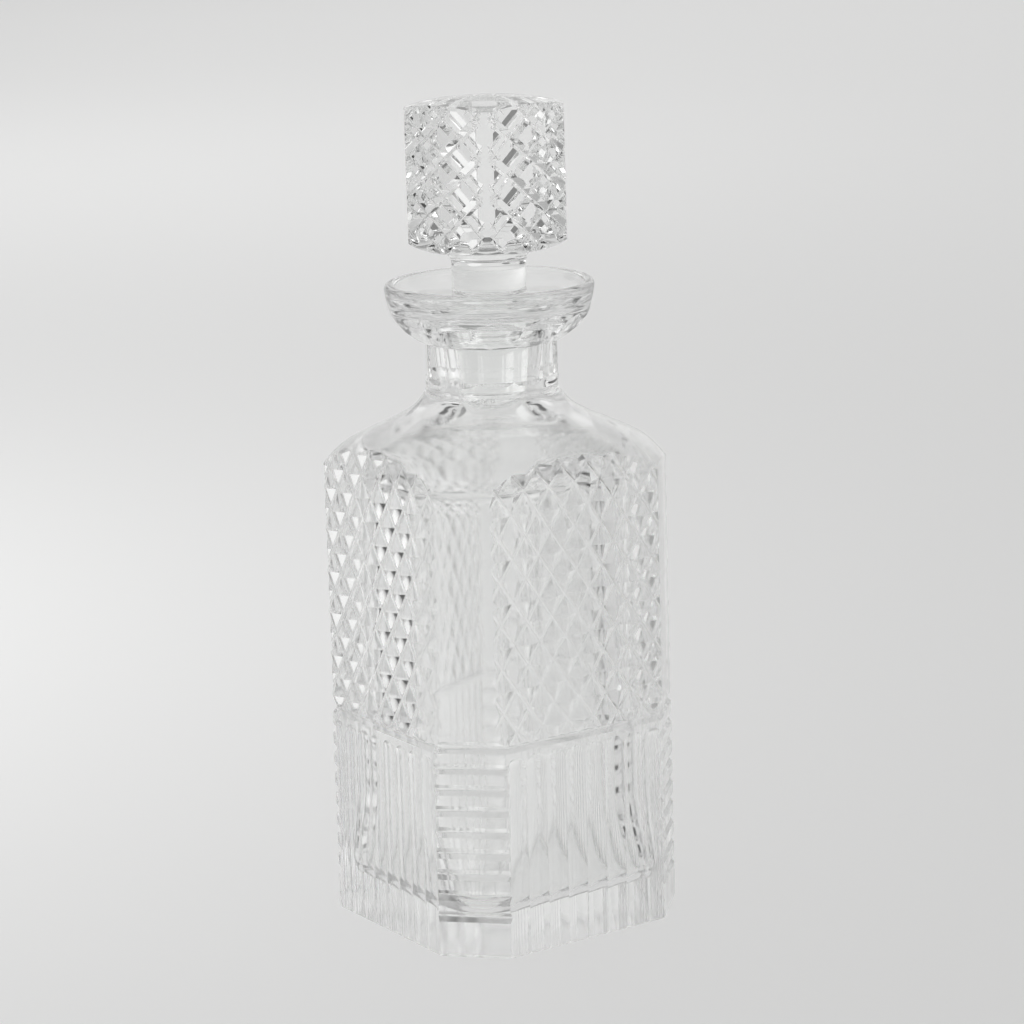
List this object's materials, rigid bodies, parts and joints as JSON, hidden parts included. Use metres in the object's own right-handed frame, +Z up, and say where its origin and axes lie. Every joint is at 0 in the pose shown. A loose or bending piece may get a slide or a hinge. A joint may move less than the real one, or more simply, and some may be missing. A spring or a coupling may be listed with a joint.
{
  "type": "cut crystal decanter with stopper",
  "caption": "Square cut crystal spirit decanter with canted corners, diamond and flute cutting, a flared lip and a lift-out cut stopper with a ground plug.",
  "frame": {"origin": "centre of the flat foot, on the table", "axes": "+Z up through the neck; X and Y square to the four cut panels"},
  "size_m": [0.0918, 0.0918, 0.2634],
  "materials": {
    "vessel_crystal": "clear colourless lead crystal, polished cuts, no tint",
    "stopper_crystal": "clear colourless lead crystal, polished cuts; the conical plug is ground to fit the neck and polished clear"
  },
  "bodies": {
    "vessel": {"decanter_body": "vessel_crystal"},
    "stopper": {"stopper": "stopper_crystal"}
  },
  "joints": [
    {"name": "stopper_lift", "type": "slide", "parent": "vessel", "child": "stopper", "axis": [0, 0, 1], "range_m": [0, 0.06]}
  ]
}
